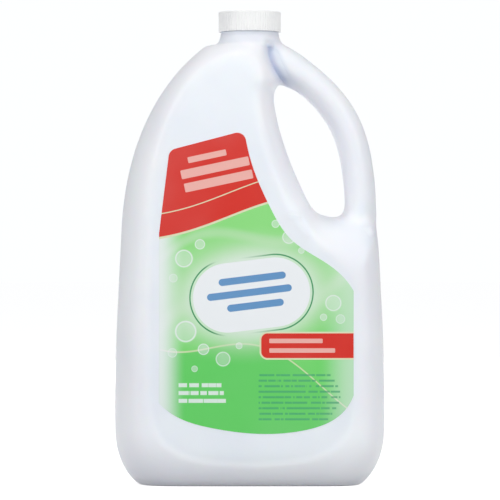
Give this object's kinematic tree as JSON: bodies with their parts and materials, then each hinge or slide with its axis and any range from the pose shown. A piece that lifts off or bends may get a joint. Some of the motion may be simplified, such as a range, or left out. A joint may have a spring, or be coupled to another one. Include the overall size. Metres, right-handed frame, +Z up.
{
  "type": "cleaner refill bottle",
  "caption": "Tall blow-moulded plastic jug with a pass-through handle, sloping shoulders, a screw cap and a film label on its front, for pouring refill liquid.",
  "frame": {"origin": "centre of the base on the axis of the neck, where the bottle stands", "axes": "+Z up along the neck, +X towards the handle, the label faces -Y"},
  "size_m": [0.1544, 0.0739, 0.27],
  "materials": {
    "bottle_plastic": "satin white blow-moulded polyethylene",
    "cap_plastic": "white moulded polypropylene, fine ribs",
    "liner_foam": "closed-cell foam sheet",
    "label_film": "printed film, semi-gloss, green and red fields"
  },
  "bodies": {
    "bottle": {"bottle": "bottle_plastic", "front_label": "label_film"},
    "liner": {"cap_liner": "liner_foam"},
    "cap": {"cap": "cap_plastic"}
  },
  "joints": [
    {"name": "cap_rise", "type": "slide", "parent": "bottle", "child": "liner", "axis": [0, 0, 1], "range_m": [0, 0.0106]},
    {"name": "cap_turn", "type": "hinge", "parent": "liner", "child": "cap", "pos_m": [0, 0, 0.264], "axis": [0, 0, 1], "range_deg": [0, 900]}
  ],
  "couplings": [
    {"joint": "cap_rise", "follows": "cap_turn", "m_per_rad": 0.00067375}
  ]
}
